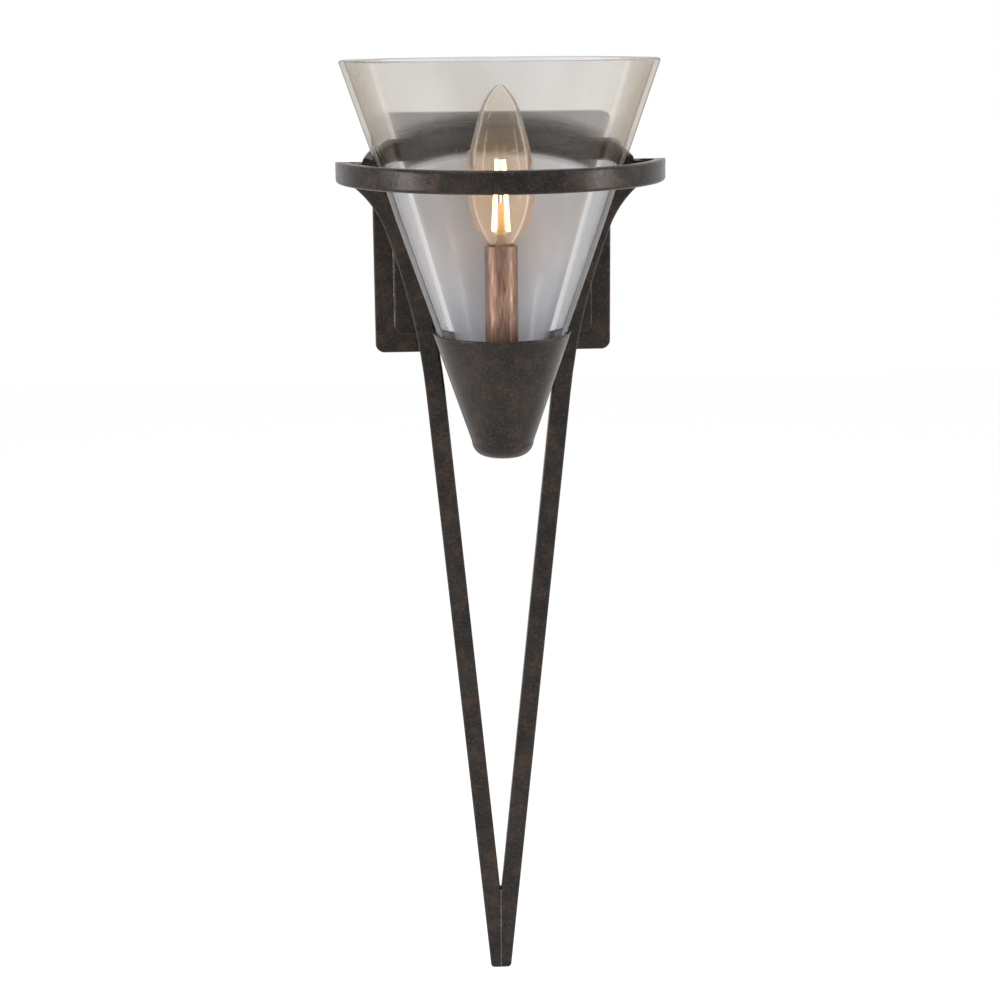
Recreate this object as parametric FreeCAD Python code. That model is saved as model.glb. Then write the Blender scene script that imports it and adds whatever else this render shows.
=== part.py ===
import FreeCAD
import Part

import math
import os

# Torch wall sconce: a candle lamp in a clear cone of glass, which sits in a metal cup.
# A level band runs round the front of the glass and lands on two legs that meet in a long point.
# A rising strap behind the glass screws the band and the legs to a square cover on the wall.
#
# Frame: X to the right, +Y into the wall, Z up, in millimetres.
# The origin is the middle of the mounting bar's back face, which lies on the wall.

V = FreeCAD.Vector
UP = V(0, 0, 1)
OUT_OF_WALL = V(0, -1, 0)
INTO_WALL = V(0, 1, 0)

# ---- driving dimensions ----
axis_y = -103.0            # the torch's axis stands this far off the wall
slope = 0.336              # widening of the cup and the glass per mm of height

plate_side = 133.0         # square cover on the wall
plate_depth = 14.0
panel_side = 111.0         # raised middle of the cover
panel_proud = 7.0
plate_wall = 1.2
plate_corner = 5.0
press_radius = 1.0         # pressed edges of the cover
panel_front = -(plate_depth + panel_proud)

bar_width = 20.0           # mounting bar behind the cover
bar_height = 118.0
bar_thick = 2.0
slot_spacing = 88.9        # outlet box screws, 3 1/2 inch apart
slot_radius = 2.3
slot_length = 14.0
stud_spacing = 62.0        # studs that hold the cover
stud_radius = 2.0
stud_clearance = 0.3
nut_radius = 5.5

band_radius = 84.0         # outside of the front band
band_thick = 6.0
band_height = 11.3
band_top = 47.4
band_end_angle = 19.0      # the band runs back past its widest points into the legs
band_drop = 0.7            # degrees by which the band leans down towards the front
ground_slope = 3.8         # the band's ends and the legs' tops are ground down at this angle
ground_start_y = -119.0
ground_below_top = 0.5
edge_radius = 1.6          # softened edges of the forged straps

yoke_radius = 69.0         # middle line of the rear strap
yoke_thick = 7.0
yoke_height = 12.5
yoke_tilt = 15.5
yoke_cant = 16.0           # the strap's top edge leans in towards the glass
yoke_rear_y = -27.5        # middle of the strap where it meets the pad
yoke_rear_height = 56.0
yoke_end_angle = 13.0

leg_width = 10.5
leg_depth = 6.0
leg_lean = 5.05            # the legs run back towards the wall on their way down
leg_foot_front = -35.4     # front face of the point at its lowest
leg_foot_half = 5.95
leg_spread = 0.0936        # outward run of a leg per mm of its length
leg_straight = 356.4
leg_bend_angle = 20.0
leg_bend_radius = 362.0
leg_flare_angle = 66.0
leg_flare_radius = 53.4
leg_gap_half = 0.3         # half of the gap at the fork
ear_inner = 69.0           # block at the top of each leg, which the band butts against
ear_outer = 84.0
point_height = -436.5      # lowest point of the torch

cup_rim_height = -42.3
cup_rim_radius = 35.7
cup_bottom_height = -108.0
cup_floor_radius = 13.4
cup_wall = 1.0
cup_corner = 7.0

glass_rim_height = 96.3
glass_rim_radius = 81.4
glass_slope = 0.3405
glass_foot_height = -64.0
glass_wall = 2.8

seat_thick = 1.5
gasket_thick = 2.0

sleeve_radius = 8.6
sleeve_wall = 0.6
sleeve_top = 2.2

socket_radius = 7.6
socket_bottom = -33.0
socket_top = -6.5
shell_inner = 6.2
shell_wall = 0.4

bulb_radius = 17.5
bulb_tip_height = 83.5
bulb_wall = 0.7
bulb_base_radius = 5.9
bulb_base_top = -4.0
bulb_base_bottom = -24.0

arm_radius = 4.75
arm_wall = 0.9
arm_bend = 15.0
arm_exit_height = -12.0
arm_drop_y = -45.0
arm_entry_height = -80.0
arm_end_y = -88.0
arm_start_y = -12.0

lead_radius = 0.9
lead_offset = 1.4

screw_radius = 1.9


# ---- helpers ----
def axis_point(height=0.0):
    return V(0, axis_y, height)


def cylinder(radius, base, direction, length):
    return Part.makeCylinder(radius, length, base, direction)


def hexagon(across_flats, base, direction, length):
    """A hexagonal prism, for nuts."""
    corner = across_flats / math.sqrt(3)
    turn = FreeCAD.Rotation(UP, direction)
    points = [base + turn.multVec(V(corner * math.cos(math.radians(60 * i)),
                                    corner * math.sin(math.radians(60 * i)), 0)) for i in range(7)]
    return Part.Face(Part.makePolygon(points)).extrude(direction * length)


def turned(points, bulges=None):
    """A solid of revolution about the torch's axis from (radius, height) corners.

    bulges maps the number of a side to the (radius, height) that its arc passes through.
    """
    bulges = bulges or {}
    places = [V(r, axis_y, z) for r, z in points]
    edges = []
    for i, start in enumerate(places):
        end = places[(i + 1) % len(places)]
        if i in bulges:
            r, z = bulges[i]
            edges.append(Part.Arc(start, V(r, axis_y, z), end).toShape())
        else:
            edges.append(Part.LineSegment(start, end).toShape())
    return Part.Face(Part.Wire(edges)).revolve(axis_point(), UP, 360)


def rounded_section(width, height, radius, middle, across, along):
    """A rounded rectangle about middle, width along `across` and height along `along`."""
    a, b, r = width / 2, height / 2, radius

    def at(u, v):
        return middle + across * u + along * v

    def corner(su, sv):
        diag = r * (1 - math.sqrt(0.5))
        ends = [at(su * a, sv * (b - r)), at(su * (a - r), sv * b)]
        if su * sv < 0:
            ends.reverse()
        return ends[0], at(su * (a - diag), sv * (b - diag)), ends[1]

    corners = [corner(1, 1), corner(-1, 1), corner(-1, -1), corner(1, -1)]
    edges = []
    for i, (start, mid, end) in enumerate(corners):
        edges.append(Part.Arc(start, mid, end).toShape())
        edges.append(Part.LineSegment(end, corners[(i + 1) % 4][0]).toShape())
    return Part.Face(Part.Wire(edges))


def curved_strap(radius, thick, height, centre, back_angle, front, cant=0.0):
    """A strap rolled to a radius about the vertical line through centre.

    It covers the front or the rear half and passes the widest points by back_angle.
    With a cant its top edge leans in by that many degrees.
    """
    start = -(180 + back_angle) if front else -back_angle
    direction = V(math.cos(math.radians(start)), math.sin(math.radians(start)), 0)
    lean = math.radians(cant)
    across = direction * math.cos(lean) + UP * math.sin(lean)
    along = UP * math.cos(lean) - direction * math.sin(lean)
    section = rounded_section(thick, height, edge_radius, centre + direction * radius, across, along)
    return section.revolve(centre, UP, 180 + 2 * back_angle)


def bent_path(points, radius):
    """Straight runs joined by tangent arcs of one radius."""
    edges = []
    start = points[0]
    for before, corner, after in zip(points, points[1:], points[2:]):
        inward = (before - corner).normalize()
        onward = (after - corner).normalize()
        half = inward.getAngle(onward) / 2
        cut = radius / math.tan(half)
        first = corner + inward * cut
        last = corner + onward * cut
        middle = corner + (inward + onward).normalize() * (radius / math.sin(half) - radius)
        edges.append(Part.LineSegment(start, first).toShape())
        edges.append(Part.Arc(first, middle, last).toShape())
        start = last
    edges.append(Part.LineSegment(start, points[-1]).toShape())
    return Part.Wire(edges)


def rod(points, radius, bend):
    """A round bar along straight runs and arcs."""
    path = bent_path(points, bend)
    direction = (points[1] - points[0]).normalize()
    circle = Part.Wire([Part.Circle(points[0], direction, radius).toShape()])
    return path.makePipeShell([circle], True, False)


def rounded_block(side, front, back, corner, soften):
    """A square block on the wall with rounded corners and softened front edges."""
    half = side / 2
    block = Part.makeBox(side, back - front, side, V(-half, front, -half))
    upright = [e for e in block.Edges if abs(e.tangentAt(e.FirstParameter).y) > 0.99]
    block = block.makeFillet(corner, upright)
    rim = [e for e in block.Edges
           if abs(e.BoundBox.YMin - front) < 1e-6 and abs(e.BoundBox.YMax - front) < 1e-6]
    return block.makeFillet(soften, rim)


# ---- wall cover and its fixings ----
def stud_places():
    return [V(0, 0, s * stud_spacing / 2) for s in (-1, 1)]


def make_backplate():
    outer = rounded_block(plate_side, -plate_depth, 0, plate_corner, press_radius)
    outer = outer.fuse(rounded_block(panel_side, panel_front, -plate_depth + 1, plate_corner, press_radius))
    inner = rounded_block(plate_side - 2 * plate_wall, plate_wall - plate_depth, 1,
                          plate_corner - plate_wall, press_radius / 2)
    inner = inner.fuse(rounded_block(panel_side - 2 * plate_wall, panel_front + plate_wall, -plate_depth + 2,
                                     plate_corner - plate_wall, press_radius / 2))
    plate = outer.cut(inner)
    holes = [cylinder(stud_radius + stud_clearance, place, OUT_OF_WALL, 30) for place in stud_places()]
    holes.append(cylinder(arm_radius, V(0, 0, arm_exit_height), OUT_OF_WALL, 30))
    holes += [cylinder(screw_radius, V(x, 0, pad_screw_z), OUT_OF_WALL, 30) for x in pad_screw_xs]
    return plate.cut(holes).removeSplitter()


def make_mounting_bar():
    bar = Part.makeBox(bar_width, bar_thick, bar_height, V(-bar_width / 2, -bar_thick, -bar_height / 2))
    half_run = slot_length / 2 - slot_radius
    cuts = []
    for s in (-1, 1):
        middle = V(0, 0, s * slot_spacing / 2)
        for z in (-half_run, half_run):
            cuts.append(cylinder(slot_radius, middle + V(0, 0, z), OUT_OF_WALL, bar_thick))
        cuts.append(Part.makeBox(2 * slot_radius, bar_thick, 2 * half_run,
                                 middle + V(-slot_radius, -bar_thick, -half_run)))
    cuts += [cylinder(stud_radius, place, OUT_OF_WALL, bar_thick) for place in stud_places()]
    cuts.append(cylinder(screw_radius, V(ground_x, 0, ground_z), OUT_OF_WALL, bar_thick))
    return bar.cut(cuts).removeSplitter()


def make_cover_studs():
    length = -panel_front + 6.0
    return [cylinder(stud_radius, place, OUT_OF_WALL, length) for place in stud_places()]


def make_cap_nuts():
    """Domed nuts on the two studs, in front of the cover."""
    nuts = []
    hex_length = 4.0
    for place in stud_places():
        foot = V(place.x, panel_front, place.z)
        washer = cylinder(nut_radius + 1.0, foot, OUT_OF_WALL, 1.0)
        grip = hexagon(2 * nut_radius - 1.0, foot + OUT_OF_WALL, OUT_OF_WALL, hex_length)
        dome = Part.makeSphere(nut_radius - 1.0, foot + OUT_OF_WALL * (1.0 + hex_length))
        nut = washer.fuse([grip, dome])
        bore = cylinder(stud_radius, foot, OUT_OF_WALL, 6.0)
        nuts.append(nut.cut(bore).removeSplitter())
    return nuts


ground_x = 0.0
ground_z = 18.0


def make_ground_screw():
    head_thick = 2.2
    shank = cylinder(screw_radius, V(ground_x, 0, ground_z), OUT_OF_WALL, bar_thick + head_thick)
    head = hexagon(7.5, V(ground_x, -bar_thick, ground_z), OUT_OF_WALL, head_thick)
    return [shank.fuse(head).removeSplitter()]


# ---- band, rear strap and legs ----
band_middle = band_radius - band_thick / 2
band_bottom = band_top - band_height
band_end_y = axis_y + band_middle * math.sin(math.radians(band_end_angle))
lug_inner = 66.6           # the strap's end lugs fill the space inside the band, clear of the glass
lug_reach = 9.0            # how far the lugs run forward of the band's ends
lug_rise = 0.6             # the lugs start this far above the band's lower edge
lug_height = band_height - 4.2
pad_half = 20.0
pad_bottom = 42.0
pad_top = 59.0
pad_depth = 8.0
pad_screw_xs = (-12.0, 12.0)
pad_screw_z = 45.0


def biggest(shape):
    return max(shape.Solids, key=lambda solid: solid.Volume)


def ground_away(shape):
    """Takes the top off the band's ends and the legs' tops along one shallow slope."""
    start = V(0, ground_start_y, band_top - ground_below_top)
    above = Part.makeBox(300, 80, 40, V(-150, start.y, start.z))
    above.rotate(start, V(1, 0, 0), -ground_slope)
    return biggest(shape.cut(above))


def make_band(legs):
    centre = axis_point(band_top - band_height / 2)
    band = curved_strap(band_middle, band_thick, band_height, centre, band_end_angle, front=True)
    band.rotate(V(0, band_end_y, band_top), V(1, 0, 0), band_drop)
    return ground_away(biggest(band.cut(legs)))


def make_rear_strap(band, legs):
    """The strap behind the glass: high at the wall, level lugs inside the band's two ends."""
    middle = V(0, yoke_rear_y, yoke_rear_height)
    strap = curved_strap(yoke_radius, yoke_thick, yoke_height, middle - V(0, yoke_radius, 0),
                         yoke_end_angle, front=False, cant=yoke_cant)
    strap.rotate(middle, V(1, 0, 0), yoke_tilt)
    floor = band_bottom + lug_rise
    room = Part.makeBox(400, 400, 200, V(-200, band_end_y - lug_reach, floor))
    lugs = cylinder(band_radius - band_thick, axis_point(floor), UP, lug_height)
    lugs = lugs.cut(cylinder(lug_inner, axis_point(floor), UP, lug_height))
    lugs = lugs.common(Part.makeBox(400, lug_reach, 200, V(-200, band_end_y - lug_reach, floor)))
    cover = Part.makeBox(400, 50, 400, V(-200, panel_front, -200))
    return biggest(strap.common(room).fuse(lugs.Solids).cut([band, cover] + legs)).removeSplitter()


def make_strap_pad(strap):
    """The block between the cover and the rear strap, which takes the two screws."""
    block = Part.makeBox(2 * pad_half, pad_depth, pad_top - pad_bottom,
                         V(-pad_half, panel_front - pad_depth, pad_bottom))
    holes = [cylinder(screw_radius, V(x, 0, pad_screw_z), OUT_OF_WALL, 60) for x in pad_screw_xs]
    return biggest(block.cut(strap)).cut(holes)


def make_pad_screws():
    """Screws from inside the cover into the pad."""
    head_thick = 2.2
    screws = []
    for x in pad_screw_xs:
        inside = V(x, panel_front + plate_wall, pad_screw_z)
        shank = cylinder(screw_radius, inside, OUT_OF_WALL, plate_wall + pad_depth - 1.0)
        head = cylinder(3.4, inside + INTO_WALL * head_thick, OUT_OF_WALL, head_thick)
        screws.append(shank.fuse(head).removeSplitter())
    return screws


def leg_outline():
    """Right leg, flat, as edges in X and Z with its foot at Z = 0."""
    start_angle = math.atan(leg_spread)
    outer_foot = V(leg_foot_half, 0, 0)
    outer_knee = V(leg_foot_half + leg_spread * leg_straight, 0, leg_straight)

    def normal(angle):
        return V(math.cos(angle), 0, -math.sin(angle))

    def arc(centre, radius, first, last):
        places = [centre - normal(first + (last - first) * t) * radius for t in (0, 0.5, 1)]
        return places, Part.Arc(*places).toShape()

    bend = math.radians(leg_bend_angle)
    flare = math.radians(leg_flare_angle)
    bend_centre = outer_knee + normal(start_angle) * leg_bend_radius
    flare_start = bend_centre - normal(bend) * leg_bend_radius
    flare_centre = flare_start + normal(bend) * leg_flare_radius

    outer_bend_edge = arc(bend_centre, leg_bend_radius, start_angle, bend)[1]
    outer_flare, outer_flare_edge = arc(flare_centre, leg_flare_radius, bend, flare)
    inner_flare, inner_flare_edge = arc(flare_centre, leg_flare_radius + leg_width, flare, bend)
    inner_bend, inner_bend_edge = arc(bend_centre, leg_bend_radius + leg_width, bend, start_angle)

    inner_knee = inner_bend[-1]
    fork_drop = (inner_knee.x - leg_gap_half) / leg_spread
    fork = V(leg_gap_half, 0, inner_knee.z - fork_drop)
    seam_top = V(0, 0, fork.z)
    foot_round = 2.4
    toe = V(leg_foot_half - foot_round, 0, 0)
    toe_side = outer_foot + (outer_knee - outer_foot).normalize() * foot_round
    toe_mid = (toe + toe_side) * 0.5 + V(0.55, 0, -0.55)

    def line(a, b):
        return Part.LineSegment(a, b).toShape()

    return Part.Wire([line(V(0, 0, 0), toe), Part.Arc(toe, toe_mid, toe_side).toShape(),
                      line(toe_side, outer_knee), outer_bend_edge, outer_flare_edge,
                      line(outer_flare[-1], inner_flare[0]), inner_flare_edge, inner_bend_edge,
                      line(inner_knee, fork), line(fork, seam_top), line(seam_top, V(0, 0, 0))])


def make_right_leg():
    blank = Part.Face(leg_outline()).extrude(V(0, leg_depth, 0))
    long_edges = [e for e in blank.Edges if abs(e.BoundBox.YLength) < 1e-6 and e.Length > 15
                  and e.BoundBox.XMin > 0.1]
    leg = blank.makeFillet(1.2, long_edges)
    rise = 1 / math.cos(math.radians(leg_lean))
    ear_foot = (band_bottom - point_height) * rise
    ear_top = (band_top - point_height) * rise
    leg = leg.cut(Part.makeBox(200, 60, 100, V(0, -30, ear_foot)))
    ear = Part.makeBox(ear_outer - ear_inner, leg_depth, ear_top - ear_foot, V(ear_inner, 0, ear_foot))
    corners = [e for e in ear.Edges
               if e.BoundBox.YLength > leg_depth - 0.1 and e.BoundBox.XMin > ear_outer - 0.1]
    leg = leg.fuse(ear.makeFillet(1.8, corners)).removeSplitter()
    leg.rotate(V(0, 0, 0), V(1, 0, 0), leg_lean)
    leg.translate(V(0, leg_foot_front, point_height))
    return ground_away(leg)


# ---- cup, seat and glass ----
def cup_radius_at(height):
    return cup_rim_radius - slope * (cup_rim_height - height)


def glass_radius_at(height):
    return glass_rim_radius - glass_slope * (glass_rim_height - height)


wall_run = cup_wall * math.hypot(1, slope)
glass_run = glass_wall * math.hypot(1, glass_slope)
seat_top = glass_foot_height - gasket_thick
seat_bottom = seat_top - seat_thick
boss_top = -94.0
boss_radius = 11.0


def make_cup():
    corner_height = cup_bottom_height + cup_corner + 1.0
    floor = cup_bottom_height + cup_wall
    outer_corner = cup_radius_at(corner_height)
    inner_corner = outer_corner - wall_run
    lip = 0.5
    points = [(0, cup_bottom_height), (cup_floor_radius - cup_corner + 1.5, cup_bottom_height),
              (outer_corner, corner_height), (cup_rim_radius, cup_rim_height - 2 * lip),
              (cup_rim_radius - wall_run, cup_rim_height - 2 * lip), (inner_corner, corner_height),
              (cup_floor_radius - cup_corner + 1.0, floor), (0, floor)]
    bulges = {1: (outer_corner - 2.2, cup_bottom_height + 2.7),
              3: (cup_rim_radius - wall_run / 2 + 0.1, cup_rim_height),
              5: (inner_corner - 2.1, floor + 2.6)}
    cup = turned(points, bulges)
    return cup.cut(cylinder(arm_radius, V(0, arm_end_y, arm_entry_height), INTO_WALL, 20))


def make_cup_boss(cup):
    """A turned stub welded in the cup's floor, which carries the nipple."""
    floor = cup_bottom_height + cup_wall
    boss = cylinder(boss_radius, axis_point(floor), UP, boss_top - floor)
    cavity_radius = cup_radius_at(cup_bottom_height) - wall_run
    cone = Part.makeCone(cavity_radius - 3.4, cavity_radius + 4, boss_top - cup_bottom_height,
                         axis_point(floor), UP)
    return boss.common(cone).cut([cylinder(nipple_radius, axis_point(nipple_bottom), UP, 20), cup])


nipple_radius = 4.8
nipple_bore = 3.4
nipple_bottom = -102.0
nipple_top = -59.5


def make_nipple():
    """Threaded tube with a window at the arm's height, where the leads come in."""
    tube = cylinder(nipple_radius, axis_point(nipple_bottom), UP, nipple_top - nipple_bottom)
    bore = cylinder(nipple_bore, axis_point(nipple_bottom), UP, nipple_top - nipple_bottom)
    window = Part.makeBox(2 * nipple_bore, 10, 11, V(-nipple_bore, axis_y, arm_entry_height - 4))
    return tube.cut([bore, window])


nut_thick = 3.0


def ring_nut(across_flats, bore, base, direction, thick):
    nut = hexagon(across_flats, base, direction, thick)
    return nut.cut(cylinder(bore, base, direction, thick))


def make_seat_plate():
    plate = cylinder(cup_radius_at(seat_bottom) - wall_run - 0.4, axis_point(seat_bottom), UP, seat_thick)
    return plate.cut(cylinder(nipple_radius, axis_point(seat_bottom), UP, seat_thick))


def make_gasket():
    outer = glass_radius_at(glass_foot_height) - 0.3
    ring = cylinder(outer, axis_point(seat_top), UP, gasket_thick)
    return ring.cut(cylinder(outer - glass_run, axis_point(seat_top), UP, gasket_thick))


def make_glass():
    top_outer = glass_rim_radius
    foot_outer = glass_radius_at(glass_foot_height)
    round_over = glass_run / 2
    points = [(foot_outer - glass_run, glass_foot_height), (foot_outer, glass_foot_height),
              (top_outer - 0.3, glass_rim_height - round_over * 0.7),
              (top_outer - 0.3 - glass_run, glass_rim_height - round_over * 0.7)]
    bulges = {2: (top_outer - glass_run / 2, glass_rim_height)}
    return turned(points, bulges)


# ---- lamp holder and candle sleeve ----
def make_sleeve():
    tube = cylinder(sleeve_radius, axis_point(seat_top), UP, sleeve_top - seat_top)
    return tube.cut(cylinder(sleeve_radius - sleeve_wall, axis_point(seat_top), UP, sleeve_top - seat_top))


hanger_thick = 1.0
hanger_reach = 7.0
hanger_width = 6.0
hanger_foot = 2.5
well_floor = 4.0            # the holder's well starts this far above its underside
rivet_radius = 1.2


def make_socket_hanger():
    """A bent steel hanger: threaded foot on the nipple, one upright and a top tab under the holder."""
    foot_z = seat_top + nut_thick
    side = V(hanger_reach - hanger_thick, axis_y - hanger_width / 2, foot_z)
    foot = cylinder(hanger_reach, axis_point(foot_z), UP, hanger_foot)
    upright = Part.makeBox(hanger_thick, hanger_width, socket_bottom - foot_z, side)
    tab_base = V(-3.0, side.y, socket_bottom - hanger_thick)
    tab = Part.makeBox(hanger_reach + 3.0, hanger_width, hanger_thick, tab_base)
    hanger = foot.fuse([upright, tab]).removeSplitter()
    return hanger.cut([cylinder(nipple_radius, axis_point(foot_z), UP, hanger_foot),
                       cylinder(1.8, axis_point(tab_base.z), UP, hanger_thick)])


def make_socket_body():
    """Moulded lamp holder with a well for the screw shell."""
    body = cylinder(socket_radius, axis_point(socket_bottom), UP, socket_top - socket_bottom)
    well = cylinder(shell_inner + shell_wall, axis_point(socket_bottom + well_floor), UP,
                    socket_top - socket_bottom)
    contact_hole = cylinder(rivet_radius, axis_point(socket_bottom), UP, 5.0)
    return body.cut([well, contact_hole]).removeSplitter()


def make_socket_shell():
    low = socket_bottom + well_floor
    high = socket_top - 0.5
    shell = cylinder(shell_inner + shell_wall, axis_point(low), UP, high - low)
    return shell.cut(cylinder(shell_inner, axis_point(low), UP, high - low))


def make_socket_contact():
    """Rivet and contact disc under the bulb's tip."""
    rivet = cylinder(rivet_radius, axis_point(socket_bottom - 0.8), UP, 5.2)
    disc = cylinder(2.6, axis_point(socket_bottom + well_floor), UP, 0.5)
    return rivet.fuse(disc).removeSplitter()


# ---- bulb ----
def bulb_solid(inset):
    """The candle shape, inset from its outside; its tip is nipped to a small flat."""
    corners = [(bulb_base_radius, bulb_base_top), (7.7, 3.0), (bulb_radius, 31.0), (11.3, 66.5),
               (1.6, bulb_tip_height)]
    middles = [(6.4, -0.2), (14.3, 14.8), (15.7, 49.5), (7.6, 76.4)]
    points = [(r - inset, z) for r, z in corners[:-1]]
    points += [(1.6, bulb_tip_height - 1.3 * inset), (0, bulb_tip_height - 1.3 * inset), (0, bulb_base_top)]
    return turned(points, {i: (r - inset, z) for i, (r, z) in enumerate(middles)})


def make_envelope():
    return bulb_solid(0).cut(bulb_solid(bulb_wall))


def make_bulb_base():
    low = bulb_base_bottom + 3.0
    tube = cylinder(bulb_base_radius, axis_point(low), UP, bulb_base_top - low)
    bore = cylinder(bulb_base_radius - 0.4, axis_point(low), UP, 30)
    return tube.cut(bore)


def make_bulb_tip():
    """Glass insulator cone and the soldered centre contact."""
    cone = Part.makeCone(2.6, bulb_base_radius, 2.6, axis_point(bulb_base_bottom + 0.4), UP)
    button = cylinder(2.0, axis_point(bulb_base_bottom - 0.4), UP, 0.8)
    return cone.fuse(button).removeSplitter()


stem_foot = -2.5
stem_top = 24.0


def make_bulb_stem():
    """Flared glass stem that stands in the neck and carries the filament's wires."""
    points = [(0, stem_foot), (4.2, stem_foot), (2.2, 6.0), (2.0, stem_top - 4), (2.6, stem_top - 1.5),
              (1.6, stem_top), (0, stem_top)]
    return turned(points)


def filament_bar(angle):
    """One slender filament rod, leaning outwards at its foot."""
    foot_radius = 5.2
    head_radius = 2.4
    foot_height = 10.0
    head_height = 46.0
    turn = V(math.cos(math.radians(angle)), math.sin(math.radians(angle)), 0)
    foot = axis_point(foot_height) + turn * foot_radius
    head = axis_point(head_height) + turn * head_radius
    run = head - foot
    return Part.makeCylinder(0.9, run.Length, foot, run)


filament_angles = (45, 135, 225, 315)


def make_filaments():
    return [filament_bar(angle) for angle in filament_angles]


def make_filament_wires():
    """Fine wires from the stem to the foot and the head of each filament."""
    wires = []
    for angle in filament_angles:
        turn = V(math.cos(math.radians(angle)), math.sin(math.radians(angle)), 0)
        low = axis_point(8.0) + turn * 1.8
        foot = axis_point(10.0) + turn * 5.2
        run = foot - low
        wires.append(Part.makeCylinder(0.3, run.Length, low, run))
    mast = cylinder(0.35, axis_point(stem_top), UP, 22.0)
    crown = cylinder(2.6, axis_point(stem_top + 22.0), UP, 0.5)
    wires.append(mast.fuse(crown).removeSplitter())
    solid_parts = make_filaments() + [make_bulb_stem()]
    return [wire.cut(solid_parts) for wire in wires]


# ---- arm and leads ----
arm_points = [V(0, arm_start_y, arm_exit_height), V(0, arm_drop_y, arm_exit_height),
              V(0, arm_drop_y, arm_entry_height), V(0, arm_end_y, arm_entry_height)]
collar_radius = 9.0
collar_thick = 3.5
arm_nut_flats = 13.0


def make_arm():
    return rod(arm_points, arm_radius, arm_bend).cut(rod(arm_points, arm_radius - arm_wall, arm_bend))


def make_arm_collar():
    base = V(0, panel_front, arm_exit_height)
    collar = Part.makeCone(collar_radius, collar_radius - 2.0, collar_thick, base, OUT_OF_WALL)
    return collar.cut(cylinder(arm_radius, base, OUT_OF_WALL, collar_thick))


def make_arm_nuts():
    """Nuts on the arm's threaded ends: one inside the cover, one inside the cup."""
    cover_inside = V(0, panel_front + plate_wall, arm_exit_height)
    cover_nut = ring_nut(arm_nut_flats, arm_radius, cover_inside, INTO_WALL, nut_thick)
    cup_back = axis_y + cup_radius_at(arm_entry_height) - wall_run - 3.0
    cup_nut = ring_nut(arm_nut_flats, arm_radius, V(0, cup_back, arm_entry_height), OUT_OF_WALL, nut_thick)
    return [cover_nut, cup_nut]


def make_lead(side):
    """One insulated wire from the lamp holder, through the arm, to its connector in the cover."""
    x = side * lead_offset
    points = [V(side * 2.5, axis_y + 4.8, socket_bottom - 0.3), V(side * 2.5, axis_y + 4.8, -45.0),
              V(x, axis_y, -56.0), V(x, axis_y, arm_entry_height), V(x, arm_drop_y, arm_entry_height),
              V(x, arm_drop_y, arm_exit_height), V(x, -6.2, arm_exit_height),
              V(side * 13.0, -6.4, -19.0), V(side * connector_x, connector_y, connector_top + 7.0),
              V(side * connector_x, connector_y, connector_top)]
    return soft_rod(points, lead_radius)


connector_x = 24.0
connector_y = -9.5
connector_top = -34.0
connector_length = 16.0


def soft_rod(points, radius):
    """A round bar whose bends are each as large as their two runs allow."""
    edges = []
    start = points[0]
    for before, corner, after in zip(points, points[1:], points[2:]):
        inward = before - corner
        onward = after - corner
        shorter = min(inward.Length, onward.Length)
        inward.normalize()
        onward.normalize()
        half = inward.getAngle(onward) / 2
        cut = min(0.45 * shorter, arm_bend / math.tan(half))
        bend = cut * math.tan(half)
        first = corner + inward * cut
        last = corner + onward * cut
        middle = corner + (inward + onward).normalize() * (bend / math.sin(half) - bend)
        edges.append(Part.LineSegment(start, first).toShape())
        edges.append(Part.Arc(first, middle, last).toShape())
        start = last
    edges.append(Part.LineSegment(start, points[-1]).toShape())
    direction = (points[1] - points[0]).normalize()
    circle = Part.Wire([Part.Circle(points[0], direction, radius).toShape()])
    lead = Part.Wire(edges).makePipeShell([circle], True, False)
    length = sum(e.Length for e in edges)
    ratio = lead.Volume / (math.pi * radius ** 2 * length)
    print("lead length %.0f mm, volume ratio %.4f" % (length, ratio))
    return lead


def make_connectors():
    """Twist-on caps on the ends of the two leads."""
    caps = []
    for side in (-1, 1):
        top = V(side * connector_x, connector_y, connector_top)
        caps.append(Part.makeCone(4.0, 2.4, connector_length, top, -UP))
    return caps


# ---- build ----
def save(name, shapes):
    if not isinstance(shapes, list):
        shapes = [shapes]
    solids = [solid for shape in shapes for solid in shape.Solids]
    for solid in solids:
        if not solid.isValid() or solid.Volume <= 0:
            print("BAD SOLID", name, solid.Volume)
    shape = solids[0] if len(solids) == 1 else Part.makeCompound(solids)
    shape.exportStep("parts/%s.step" % name)
    print("%-18s %d solid(s) %9.0f mm3" % (name, len(solids), sum(s.Volume for s in solids)))


os.makedirs("parts", exist_ok=True)

right_leg = make_right_leg()
left_leg = right_leg.mirror(V(0, 0, 0), V(1, 0, 0))
front_band = make_band([right_leg, left_leg])
rear_strap = make_rear_strap(front_band, [right_leg, left_leg])
metal_cup = make_cup()
nipple_nut_base = seat_bottom - nut_thick

save("backplate", make_backplate())
save("mounting_bar", make_mounting_bar())
save("cover_studs", make_cover_studs())
save("cap_nuts", make_cap_nuts())
save("ground_screw", make_ground_screw())
save("front_band", front_band)
save("rear_strap", rear_strap)
save("strap_pad", make_strap_pad(rear_strap))
save("pad_screws", make_pad_screws())
save("leg_right", right_leg)
save("leg_left", left_leg)
save("cup", metal_cup)
save("cup_boss", make_cup_boss(metal_cup))
save("nipple", make_nipple())
save("nipple_nuts", [ring_nut(12.0, nipple_radius, axis_point(nipple_nut_base), UP, nut_thick),
                     ring_nut(12.0, nipple_radius, axis_point(seat_top), UP, nut_thick)])
save("seat_plate", make_seat_plate())
save("glass_gasket", make_gasket())
save("glass_shade", make_glass())
save("candle_sleeve", make_sleeve())
save("socket_hanger", make_socket_hanger())
save("socket_body", make_socket_body())
save("socket_shell", make_socket_shell())
save("socket_contact", make_socket_contact())
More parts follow.
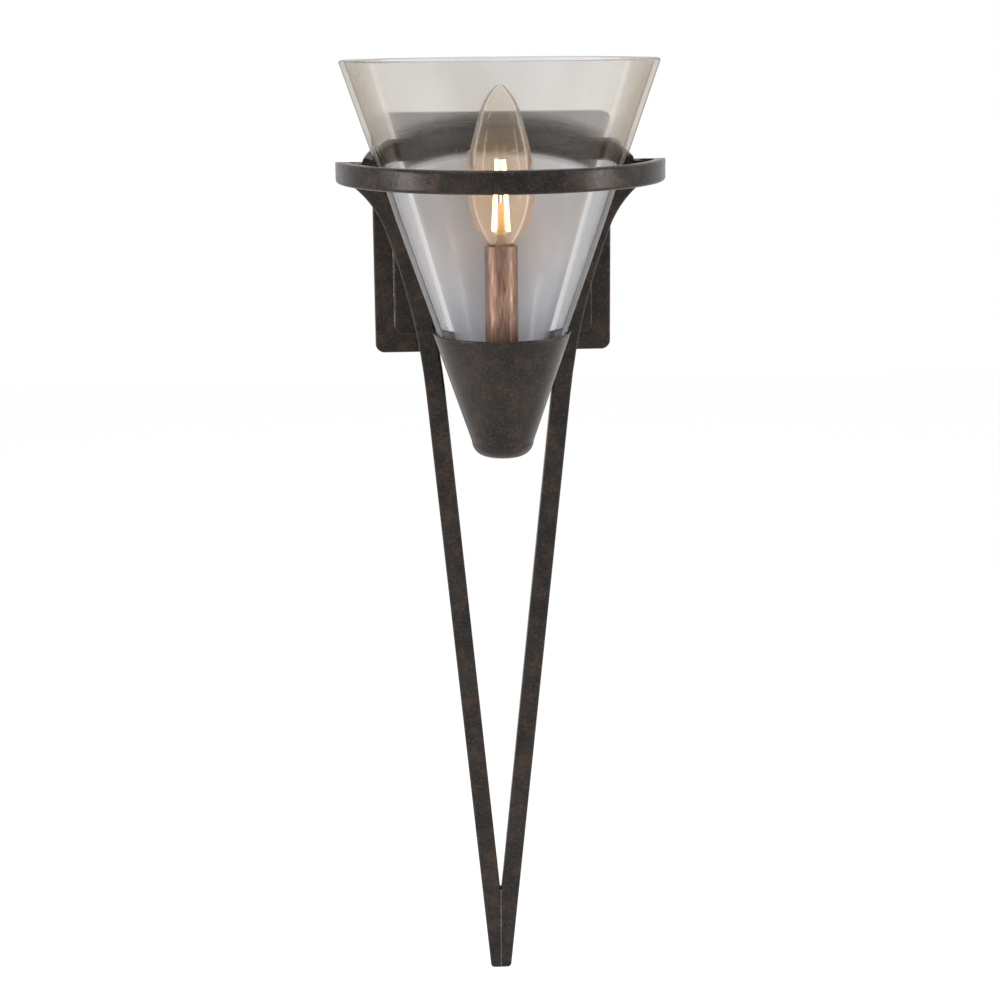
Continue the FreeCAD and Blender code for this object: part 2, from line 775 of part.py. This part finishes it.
save("bulb_envelope", make_envelope())
save("bulb_base", make_bulb_base())
save("bulb_contact", make_bulb_tip())
save("bulb_stem", make_bulb_stem())
save("bulb_filaments", make_filaments())
save("filament_wires", make_filament_wires())
save("arm_tube", make_arm())
save("arm_collar", make_arm_collar())
save("arm_nuts", make_arm_nuts())
save("live_lead", make_lead(1))
save("neutral_lead", make_lead(-1))
save("wire_connectors", make_connectors())
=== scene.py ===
import math

import bpy
from mathutils import Matrix, Vector


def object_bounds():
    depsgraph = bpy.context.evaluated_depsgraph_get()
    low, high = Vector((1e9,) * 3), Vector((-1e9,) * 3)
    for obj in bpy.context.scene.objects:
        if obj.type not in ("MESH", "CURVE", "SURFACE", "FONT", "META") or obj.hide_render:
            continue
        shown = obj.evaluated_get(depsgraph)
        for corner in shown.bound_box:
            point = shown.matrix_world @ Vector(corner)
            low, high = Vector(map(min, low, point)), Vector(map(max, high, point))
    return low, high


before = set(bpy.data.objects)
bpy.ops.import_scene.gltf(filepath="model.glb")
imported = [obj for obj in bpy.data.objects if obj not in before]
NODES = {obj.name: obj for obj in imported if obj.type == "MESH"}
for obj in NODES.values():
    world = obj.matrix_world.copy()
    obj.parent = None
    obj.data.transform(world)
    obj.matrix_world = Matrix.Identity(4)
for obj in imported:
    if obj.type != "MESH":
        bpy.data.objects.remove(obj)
cad_lo, cad_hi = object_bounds()

AXIS_Y = -0.103           # the torch stands this far off the wall
FLOOR_LIFT = 0.62         # brings the seen floor up to white
FLOOR_DROP = 0.35         # the floor lies this far below the torch
FLOOR_HALF = 4.0
AMBIENT = 0.45
STRAP_SLOPE = 0.277      # rise of the rear strap per metre towards the wall


# ---------------------------------------------------------------- node helpers
class Mat:
    """A node material with short calls for the usual chains."""

    def __init__(self, name):
        self.mat = bpy.data.materials.new(name)
        self.mat.use_nodes = True
        self.tree = self.mat.node_tree
        self.tree.nodes.clear()
        self.out = self.node("ShaderNodeOutputMaterial")
        self.coord = self.node("ShaderNodeTexCoord").outputs["Object"]

    def node(self, kind, **inputs):
        made = self.tree.nodes.new(kind)
        for key, value in inputs.items():
            key = key.replace("_", " ")
            if isinstance(value, bpy.types.NodeSocket):
                self.tree.links.new(value, made.inputs[key])
            else:
                made.inputs[key].default_value = value
        return made

    def link(self, a, b):
        self.tree.links.new(a, b)

    def scaled(self, sx, sy, sz, rot=(0, 0, 0)):
        m = self.node("ShaderNodeMapping", Vector=self.coord, Scale=(sx, sy, sz), Rotation=rot)
        return m.outputs["Vector"]

    def noise(self, scale, detail=3.0, rough=0.55, vector=None):
        n = self.node("ShaderNodeTexNoise", Vector=vector or self.coord, Scale=scale, Detail=detail,
                      Roughness=rough)
        return n.outputs["Fac"]

    def ramp(self, fac, stops, smooth=True):
        r = self.node("ShaderNodeValToRGB", Fac=fac)
        cr = r.color_ramp
        cr.interpolation = "EASE" if smooth else "LINEAR"
        while len(cr.elements) < len(stops):
            cr.elements.new(0.5)
        for e, (pos, col) in zip(cr.elements, stops):
            e.position = pos
            e.color = tuple(col) + (1,) if len(col) == 3 else col
        return r.outputs["Color"]

    def grey(self, fac, stops):
        return self.ramp(fac, [(p, (v, v, v)) for p, v in stops])

    def mix(self, fac, a, b):
        m = self.tree.nodes.new("ShaderNodeMix")
        m.data_type = "RGBA"
        for sock, value in ((m.inputs[0], fac), (m.inputs[6], a), (m.inputs[7], b)):
            if isinstance(value, bpy.types.NodeSocket):
                self.link(value, sock)
            else:
                sock.default_value = value if isinstance(value, float) else tuple(value) + (1,)
        return m.outputs[2]

    def bump(self, height, strength, distance):
        b = self.node("ShaderNodeBump", Height=height, Strength=strength, Distance=distance)
        return b.outputs["Normal"]

    def rounded_edges(self, radius):
        """The normal with its edges rounded by radius, and how near an edge the point is, 0 to 1."""
        bevel = self.node("ShaderNodeBevel", Radius=radius)
        bevel.samples = 6
        flat = self.node("ShaderNodeNewGeometry").outputs["Normal"]
        same = self.tree.nodes.new("ShaderNodeVectorMath")
        same.operation = "DOT_PRODUCT"
        self.link(bevel.outputs[0], same.inputs[0])
        self.link(flat, same.inputs[1])
        near = self.node("ShaderNodeMapRange", Value=same.outputs["Value"], From_Min=0.99, From_Max=0.80)
        return bevel.outputs[0], near.outputs[0]

    def times(self, a, b):
        made = self.tree.nodes.new("ShaderNodeMath")
        made.operation = "MULTIPLY"
        for sock, value in zip(made.inputs, (a, b)):
            if isinstance(value, bpy.types.NodeSocket):
                self.link(value, sock)
            else:
                sock.default_value = value
        return made.outputs[0]

    def plus(self, a, b):
        made = self.node("ShaderNodeMath")
        self.link(a, made.inputs[0])
        self.link(b, made.inputs[1])
        return made.outputs[0]

    def bsdf(self, **inputs):
        b = self.node("ShaderNodeBsdfPrincipled", **inputs)
        self.link(b.outputs[0], self.out.inputs["Surface"])
        return b


def paint(names, mat):
    for name in names.split():
        obj = NODES[name]
        obj.data.materials.clear()
        obj.data.materials.append(mat)


# ---------------------------------------------------------------- materials
def bronze():
    """Hand-rubbed dark bronze: near black, with fine grey and rust flecks, and its edges painted lighter,
    partly as rubbed wear and partly as a painted edge highlight.
    """
    m = Mat("bronze")
    cloud = m.noise(45, 5, 0.6)
    patch = m.noise(120, 4, 0.65)
    fleck = m.noise(750, 4, 0.75)
    fine = m.noise(1900, 3, 0.65)
    normal, edge = m.rounded_edges(0.0008)
    base = m.ramp(cloud, [(0.30, (0.005, 0.0045, 0.0045)), (0.72, (0.022, 0.0175, 0.015))])
    rust = m.grey(patch, [(0.47, 0.0), (0.68, 0.6)])
    col = m.mix(rust, base, (0.060, 0.034, 0.021))
    specks = m.grey(fleck, [(0.52, 0.0), (0.72, 0.7)])
    col = m.mix(specks, col, (0.115, 0.070, 0.044))
    sparks = m.grey(fine, [(0.60, 0.0), (0.76, 0.55)])
    col = m.mix(sparks, col, (0.21, 0.17, 0.14))
    # edges painted lighter: partly rubbed wear, partly a painted highlight along the rounded edges
    rubbed_and_edge_highlight = m.times(edge, m.grey(patch, [(0.35, 0.25), (0.62, 0.95)]))
    col = m.mix(rubbed_and_edge_highlight, col, (0.34, 0.30, 0.27))
    rough = m.grey(patch, [(0.30, 0.25), (0.70, 0.38)])
    bump = m.node("ShaderNodeBump", Height=fleck, Strength=0.22, Distance=0.0003, Normal=normal)
    m.bsdf(Base_Color=col, Metallic=0.35, Roughness=rough, Normal=bump.outputs["Normal"],
           Specular_IOR_Level=0.36)
    return m.mat


def brushed_copper():
    """Coppery brown sleeve with slanting brush marks."""
    m = Mat("sleeve_brushed")
    strokes = m.noise(1.0, 4, 0.6, m.scaled(900, 900, 120, (0.5, 0.35, 0)))
    cloud = m.noise(60, 3, 0.5)
    col = m.ramp(strokes, [(0.3, (0.13, 0.062, 0.036)), (0.55, (0.32, 0.18, 0.115)),
                           (0.75, (0.60, 0.42, 0.31))])
    col = m.mix(m.grey(cloud, [(0.35, 0.0), (0.75, 0.45)]), col, (0.15, 0.085, 0.06))
    m.bsdf(Base_Color=col, Metallic=0.5, Roughness=0.42, Normal=m.bump(strokes, 0.25, 0.0004))
    return m.mat


def plain(name, col, rough, metal=0.0, scale=400, spread=0.12, bump=0.1):
    """A material of one colour with a little unevenness in its colour and gloss."""
    m = Mat(name)
    n = m.noise(scale, 3, 0.5)
    dark = tuple(c * (1 - spread) for c in col)
    light = tuple(min(1.0, c * (1 + spread)) for c in col)
    m.bsdf(Base_Color=m.ramp(n, [(0.3, dark), (0.7, light)]), Metallic=metal,
           Roughness=m.grey(n, [(0.3, rough * 0.85), (0.7, min(1, rough * 1.15))]),
           Normal=m.bump(n, bump, 0.0003))
    return m.mat


def brushed_steel():
    m = Mat("zinc_steel")
    lines = m.noise(1.0, 3, 0.6, m.scaled(1500, 1500, 60))
    m.bsdf(Base_Color=m.ramp(lines, [(0.3, (0.42, 0.42, 0.41)), (0.7, (0.62, 0.62, 0.60))]), Metallic=1.0,
           Roughness=m.grey(lines, [(0.3, 0.28), (0.7, 0.42)]), Normal=m.bump(lines, 0.1, 0.0002))
    return m.mat


def clear_glass(name, tint, rough, veil, veil_col, edge_tint):
    """Thin clear glass of one colour all over."""
    m = Mat(name)
    thin_glass(m, tint, rough, veil, veil_col + (1,), edge_tint)
    return m.mat


def thin_glass(m, tint, rough, veil, veil_col, edge_tint):
    """A see-through layer that darkens towards its edge, under a Fresnel gloss, with a faint pale veil; on
    the shade this veil is a painted reflection.
    """
    facing = m.node("ShaderNodeLayerWeight", Blend=0.5).outputs["Facing"]
    side = m.grey(facing, [(0.30, 0.0), (0.74, 1.0)])
    line = m.grey(facing, [(0.84, 0.0), (0.95, 0.9)])
    colour = m.mix(side, tint, edge_tint)
    colour = m.mix(line, colour, (0.16, 0.14, 0.13))
    through = m.node("ShaderNodeBsdfTransparent", Color=colour)
    gloss = m.node("ShaderNodeBsdfGlossy", Color=(1, 1, 1, 1), Roughness=rough)
    # a pale diffuse layer mixed in by veil; on the shade it carries a painted reflection
    pale_diffuse = m.node("ShaderNodeBsdfDiffuse", Color=veil_col)
    pale_mix = m.node("ShaderNodeMixShader", Fac=veil)
    m.link(through.outputs[0], pale_mix.inputs[1])
    m.link(pale_diffuse.outputs[0], pale_mix.inputs[2])
    fresnel = m.node("ShaderNodeLayerWeight", Blend=0.16).outputs["Fresnel"]
    mix = m.node("ShaderNodeMixShader", Fac=m.times(fresnel, 0.55))
    m.link(pale_mix.outputs[0], mix.inputs[1])
    m.link(gloss.outputs[0], mix.inputs[2])
    m.link(mix.outputs[0], m.out.inputs["Surface"])


def cone_glass():
    """The shade: warm at its sides above the band, cool below, with a painted reflection of the pale
    surroundings as a soft pale veil on its rear wall.

    The painted reflection thins out along a slanting line, just where the rear strap passes behind the
    glass.
    """
    m = Mat("cone_glass")
    parts = m.node("ShaderNodeSeparateXYZ", Vector=m.coord)
    y, z = parts.outputs["Y"], parts.outputs["Z"]
    high = m.node("ShaderNodeMapRange", Value=z, From_Min=0.042, From_Max=0.058).outputs[0]
    rear = m.node("ShaderNodeMapRange", Value=y, From_Min=AXIS_Y + 0.002, From_Max=AXIS_Y + 0.030).outputs[0]
    slant = m.plus(z, m.times(y, -STRAP_SLOPE))
    behind_strap = m.node("ShaderNodeMapRange", Value=slant, From_Min=0.0555, From_Max=0.0585).outputs[0]
    above_strap = m.node("ShaderNodeMapRange", Value=slant, From_Min=0.072, From_Max=0.078).outputs[0]
    tall = m.node("ShaderNodeMapRange", Value=z, From_Min=-0.05, From_Max=0.05).outputs[0]
    wave = m.noise(1.0, 2, 0.5, m.scaled(26, 26, 9))
    low_tint = m.ramp(wave, [(0.3, (0.95, 0.955, 0.97)), (0.7, (0.985, 0.985, 0.99))])
    high_tint = m.ramp(wave, [(0.3, (0.905, 0.890, 0.868)), (0.7, (0.948, 0.942, 0.930))])
    tint = m.mix(high, low_tint, high_tint)
    edge_tint = m.mix(high, (0.90, 0.905, 0.92), (0.79, 0.75, 0.69))
    # painted reflection: a pale bluish veil on the rear wall, its colour changing with height
    low_reflection_col = m.ramp(tall, [(0.0, (0.84, 0.89, 0.95)), (0.35, (0.74, 0.79, 0.85)),
                             (0.7, (0.60, 0.66, 0.73)), (1.0, (0.80, 0.88, 0.97))])
    # the painted reflection is strong below the rear strap, almost gone across it, and weaker above it
    reflection_col = m.mix(behind_strap, low_reflection_col, (0.84, 0.87, 0.93))
    low_reflection_amount = m.grey(wave, [(0.35, 0.42), (0.65, 0.54)])
    veil = m.mix(behind_strap, low_reflection_amount, (0.04, 0.04, 0.04))
    veil = m.mix(above_strap, veil, (0.28, 0.28, 0.28))
    # rear keeps the painted reflection on the rear wall of the shade
    thin_glass(m, tint, 0.03, m.times(veil, rear), reflection_col, edge_tint)
    return m.mat


def glow(name, col, strength):
    m = Mat(name)
    n = m.noise(900, 2, 0.5)
    m.bsdf(Base_Color=m.ramp(n, [(0.3, tuple(c * 0.85 for c in col)), (0.7, col)]),
           Emission_Color=col + (1,), Emission_Strength=strength, Roughness=0.5)
    return m.mat


# ---------------------------------------------------------------- assign
BRONZE = bronze()
STEEL = brushed_steel()
BRASS = plain("brass_plain", (0.72, 0.52, 0.22), 0.28, 1.0)
paint("backplate front_band rear_strap strap_pad leg_right leg_left", BRONZE)
paint("cup cap_nuts arm_tube arm_collar", BRONZE)
paint("mounting_bar cover_studs pad_screws nipple arm_nuts socket_hanger seat_plate cup_boss", STEEL)
paint("nipple_nuts socket_shell socket_contact", BRASS)
paint("ground_screw", plain("green_screw", (0.04, 0.25, 0.09), 0.35, 0.3))
paint("glass_gasket", plain("cork_rubber", (0.03, 0.028, 0.026), 0.85, 0, 900, 0.4, 0.4))
paint("candle_sleeve", brushed_copper())
paint("socket_body", plain("porcelain", (0.82, 0.81, 0.76), 0.22))
paint("bulb_base bulb_contact filament_wires", plain("nickel", (0.7, 0.69, 0.66), 0.25, 1.0))
paint("bulb_filaments", glow("filament_glow", (1.0, 0.58, 0.20), 14.0))
paint("live_lead", plain("black_insulation", (0.018, 0.018, 0.018), 0.5))
paint("neutral_lead", plain("white_insulation", (0.75, 0.75, 0.72), 0.5))
paint("wire_connectors", plain("orange_cap", (0.75, 0.24, 0.05), 0.4))
paint("glass_shade", cone_glass())
paint("bulb_envelope", clear_glass("bulb_glass", (0.985, 0.975, 0.955), 0.02, 0.05,
                                   (1.0, 0.93, 0.82), (0.95, 0.90, 0.83)))
paint("bulb_stem", clear_glass("stem_glass", (0.95, 0.93, 0.9), 0.05, 0.1,
                               (1.0, 0.9, 0.75), (0.9, 0.8, 0.6)))

for obj in NODES.values():
    for poly in obj.data.polygons:
        poly.use_smooth = True
    obj.data.set_sharp_from_angle(angle=math.radians(35))


# ---------------------------------------------------------------- stage, light, camera
def seen_directly(tree):
    """1 for the rays that show the background itself: camera, glossy and transmission rays."""
    path = tree.nodes.new("ShaderNodeLightPath")
    total = path.outputs["Is Camera Ray"]
    for name in ("Is Glossy Ray", "Is Transmission Ray"):
        either = tree.nodes.new("ShaderNodeMath")
        either.operation = "MAXIMUM"
        tree.links.new(total, either.inputs[0])
        tree.links.new(path.outputs[name], either.inputs[1])
        total = either.outputs[0]
    return total


def pale_floor():
    """A pale floor lifted to white where it is seen, which still takes the object's shadow."""
    m = Mat("floor_white")
    diffuse = m.node("ShaderNodeBsdfDiffuse", Color=(0.8, 0.8, 0.8, 1))
    strength = m.times(seen_directly(m.tree), FLOOR_LIFT)
    lift = m.node("ShaderNodeEmission", Color=(1, 1, 1, 1), Strength=strength)
    both = m.node("ShaderNodeAddShader")
    m.link(diffuse.outputs[0], both.inputs[0])
    m.link(lift.outputs[0], both.inputs[1])
    m.link(both.outputs[0], m.out.inputs["Surface"])
    return m.mat


def add_plane(name, corners, mat):
    mesh = bpy.data.meshes.new(name)
    mesh.from_pydata(corners, [], [(0, 1, 2, 3)])
    mesh.materials.append(mat)
    obj = bpy.data.objects.new(name, mesh)
    bpy.context.scene.collection.objects.link(obj)
    return obj


floor_z = cad_lo.z - FLOOR_DROP
corners = [(sx * FLOOR_HALF, sy * FLOOR_HALF, floor_z) for sx, sy in ((-1, -1), (1, -1), (1, 1), (-1, 1))]
add_plane("floor", corners, pale_floor())


def pale_world():
    """White where it is seen, and a plain level of light from all round for the object."""
    world = bpy.data.worlds.new("studio")
    bpy.context.scene.world = world
    world.use_nodes = True
    tree = world.node_tree
    tree.nodes.clear()
    shades = []
    for strength in (AMBIENT, 1.0):
        shade = tree.nodes.new("ShaderNodeBackground")
        shade.inputs["Color"].default_value = (1, 1, 1, 1)
        shade.inputs["Strength"].default_value = strength
        shades.append(shade.outputs[0])
    mix = tree.nodes.new("ShaderNodeMixShader")
    tree.links.new(seen_directly(tree), mix.inputs[0])
    tree.links.new(shades[0], mix.inputs[1])
    tree.links.new(shades[1], mix.inputs[2])
    out = tree.nodes.new("ShaderNodeOutputWorld")
    tree.links.new(mix.outputs[0], out.inputs["Surface"])


pale_world()


def area_light(name, place, target, size, power, colour=(1, 1, 1)):
    data = bpy.data.lights.new(name, "AREA")
    data.shape = "RECTANGLE"
    data.size, data.size_y = size
    data.energy = power
    data.color = colour
    obj = bpy.data.objects.new(name, data)
    bpy.context.scene.collection.objects.link(obj)
    obj.location = place
    obj.rotation_euler = (Vector(target) - Vector(place)).to_track_quat("-Z", "Y").to_euler()
    return obj


middle = (0, -0.1, -0.1)
area_light("key_left", (-1.25, -0.60, 0.10), middle, (0.20, 1.1), 11)
area_light("fill_right", (1.25, -0.62, 0.10), middle, (0.20, 1.1), 9)
area_light("top_soft", (-0.2, -0.5, 1.3), middle, (0.8, 0.6), 4)


def aimed(yaw, pitch, roll):
    """The rotation of a camera that looks into the wall, turned right by yaw and down by pitch."""
    forward = Vector((math.sin(yaw) * math.cos(pitch), math.cos(yaw) * math.cos(pitch), -math.sin(pitch)))
    level = Vector((math.cos(yaw), -math.sin(yaw), 0))
    over = level.cross(forward)
    right = math.cos(roll) * level + math.sin(roll) * over
    up = -math.sin(roll) * level + math.cos(roll) * over
    return Matrix((right, up, -forward)).transposed().to_4x4()


FOCAL_PIXELS = 1978.97
FRAME_PIXELS = 1001.0
SENSOR = 36.0
cam_data = bpy.data.cameras.new("camera")
cam_data.sensor_width = SENSOR
cam_data.lens = SENSOR * FOCAL_PIXELS / FRAME_PIXELS
cam_data.clip_start = 0.05
cam = bpy.data.objects.new("camera", cam_data)
bpy.context.scene.collection.objects.link(cam)
bpy.context.scene.camera = cam
turn = aimed(math.radians(3.057), math.radians(13.381), math.radians(-0.54))
cam.matrix_world = Matrix.Translation((-0.0563, -1.1234, 0.1105)) @ turn

bpy.context.scene.view_settings.view_transform = "Standard"
